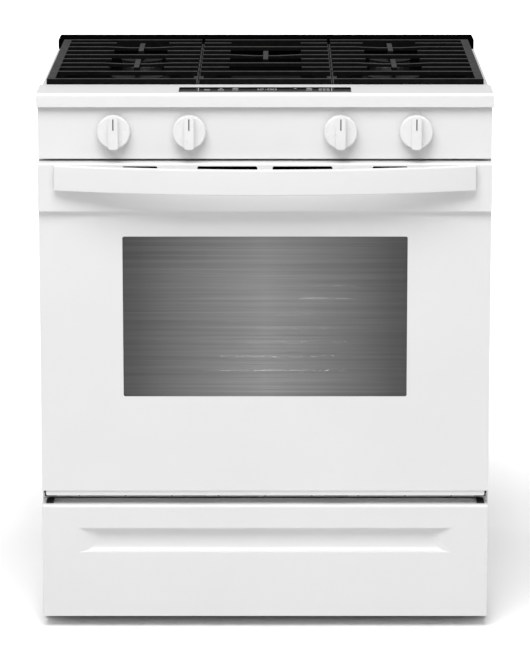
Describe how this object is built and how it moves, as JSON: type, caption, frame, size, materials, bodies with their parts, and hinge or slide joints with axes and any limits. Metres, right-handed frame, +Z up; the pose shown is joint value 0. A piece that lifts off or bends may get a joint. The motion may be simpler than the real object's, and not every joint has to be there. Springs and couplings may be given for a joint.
{
  "type": "freestanding gas range",
  "caption": "Freestanding gas cooking range with front knobs, lift-off cast grates, drop-down oven door and storage drawer.",
  "frame": {"origin": "on the floor, under the middle of the overall box", "axes": "+Z up, +X to the right of a person facing the range, -Y out of the door towards that person"},
  "size_m": [0.759, 0.728, 0.9295],
  "materials": {
    "white_enamel": "glossy white enamel",
    "white_liner": "satin white paint",
    "black_enamel": "glossy black porcelain",
    "cast_iron": "matte black enamelled cast iron",
    "black_glass": "glossy black glass",
    "window_glass": "dark tinted glass",
    "clear_glass": "clear glass",
    "steel": "bare zinc plated steel",
    "dark_steel": "blackened steel",
    "galvanised": "galvanised sheet",
    "chrome_wire": "bright chrome plating",
    "aluminium": "cast aluminium",
    "brass": "machined brass",
    "mineral_wool": "mineral wool",
    "seal": "woven glass fibre seal",
    "ceramic": "fired ceramic",
    "circuit": "solder mask",
    "knob_white": "moulded white",
    "black_plastic": "moulded black"
  },
  "bodies": {
    "cabinet": {"side_panel_left": "white_enamel", "side_panel_right": "white_enamel", "rear_panel": "galvanised", "base_pan": "galvanised", "leveling_legs": "steel", "front_frame": "white_liner", "oven_liner": "black_enamel", "oven_floor": "black_enamel", "bake_burner": "steel", "broil_burner": "steel", "oven_igniters": "ceramic", "temperature_sensor": "steel", "oven_lamp": "ceramic", "lamp_cover": "clear_glass", "oven_insulation": "mineral_wool", "door_gasket": "seal", "hinge_brackets": "dark_steel", "cooktop": "black_enamel", "burner_heads": "aluminium", "burner_caps": "cast_iron", "spark_electrodes": "ceramic", "orifice_holders": "aluminium", "front_console": "white_enamel", "touch_glass": "black_glass", "control_board": "circuit", "control_panel": "white_enamel", "rear_vent_trim": "black_enamel", "flue_duct": "galvanised", "gas_manifold": "steel", "valve_bodies": "brass", "gas_tubes": "aluminium", "pressure_regulator": "aluminium", "cord_gland": "black_plastic", "drawer_rails": "steel", "cabinet_screws": "steel"},
    "door": {"door_outer_panel": "white_enamel", "door_top_trim": "white_enamel", "door_handle": "white_enamel", "window_glass": "window_glass", "inner_window_glass": "clear_glass", "door_liner": "black_enamel", "door_insulation": "mineral_wool", "hinge_arms": "steel", "door_bottom_strip": "white_enamel"},
    "drawer": {"drawer_front": "white_enamel", "drawer_box": "galvanised", "drawer_runners": "steel"},
    "rack_upper": {"oven_rack_upper": "chrome_wire"},
    "rack_lower": {"oven_rack_lower": "chrome_wire"},
    "grate_left_body": {"grate_left": "cast_iron"},
    "grate_center_body": {"grate_center": "cast_iron"},
    "grate_right_body": {"grate_right": "cast_iron"},
    "valve_1": {"valve_stem_1": "steel"},
    "knob_1_body": {"knob_1": "knob_white"},
    "valve_2": {"valve_stem_2": "steel"},
    "knob_2_body": {"knob_2": "knob_white"},
    "valve_3": {"valve_stem_3": "steel"},
    "knob_3_body": {"knob_3": "knob_white"},
    "valve_4": {"valve_stem_4": "steel"},
    "knob_4_body": {"knob_4": "knob_white"}
  },
  "joints": [
    {"name": "door_hinge", "type": "hinge", "parent": "cabinet", "child": "door", "pos_m": [0, -0.274, 0.24], "axis": [1, 0, 0], "range_deg": [0, 90], "stiffness_Nm_per_rad": 15, "springref_deg": -8.59},
    {"name": "drawer_slide", "type": "slide", "parent": "cabinet", "child": "drawer", "axis": [0, -1, 0], "range_m": [0, 0.38]},
    {"name": "rack_upper_slide", "type": "slide", "parent": "cabinet", "child": "rack_upper", "axis": [0, -1, 0], "range_m": [0, 0.02]},
    {"name": "rack_lower_slide", "type": "slide", "parent": "cabinet", "child": "rack_lower", "axis": [0, -1, 0], "range_m": [0, 0.02]},
    {"name": "grate_left_lift", "type": "slide", "parent": "cabinet", "child": "grate_left_body", "axis": [0, 0, 1], "range_m": [0, 0.08]},
    {"name": "grate_center_lift", "type": "slide", "parent": "cabinet", "child": "grate_center_body", "axis": [0, 0, 1], "range_m": [0, 0.08]},
    {"name": "grate_right_lift", "type": "slide", "parent": "cabinet", "child": "grate_right_body", "axis": [0, 0, 1], "range_m": [0, 0.08]},
    {"name": "knob_1_turn", "type": "hinge", "parent": "cabinet", "child": "valve_1", "pos_m": [-0.251, -0.2895, 0.85608], "axis": [0, -1, 0], "range_deg": [0, 215]},
    {"name": "knob_1_push", "type": "slide", "parent": "valve_1", "child": "knob_1_body", "axis": [0, 1, 0], "range_m": [0, 0.0035], "stiffness_N_per_m": 1500, "springref_m": -0.004},
    {"name": "knob_2_turn", "type": "hinge", "parent": "cabinet", "child": "valve_2", "pos_m": [-0.1255, -0.2895, 0.85608], "axis": [0, -1, 0], "range_deg": [0, 215]},
    {"name": "knob_2_push", "type": "slide", "parent": "valve_2", "child": "knob_2_body", "axis": [0, 1, 0], "range_m": [0, 0.0035], "stiffness_N_per_m": 1500, "springref_m": -0.004},
    {"name": "knob_3_turn", "type": "hinge", "parent": "cabinet", "child": "valve_3", "pos_m": [0.1255, -0.2895, 0.85608], "axis": [0, -1, 0], "range_deg": [0, 215]},
    {"name": "knob_3_push", "type": "slide", "parent": "valve_3", "child": "knob_3_body", "axis": [0, 1, 0], "range_m": [0, 0.0035], "stiffness_N_per_m": 1500, "springref_m": -0.004},
    {"name": "knob_4_turn", "type": "hinge", "parent": "cabinet", "child": "valve_4", "pos_m": [0.251, -0.2895, 0.85608], "axis": [0, -1, 0], "range_deg": [0, 215]},
    {"name": "knob_4_push", "type": "slide", "parent": "valve_4", "child": "knob_4_body", "axis": [0, 1, 0], "range_m": [0, 0.0035], "stiffness_N_per_m": 1500, "springref_m": -0.004}
  ]
}
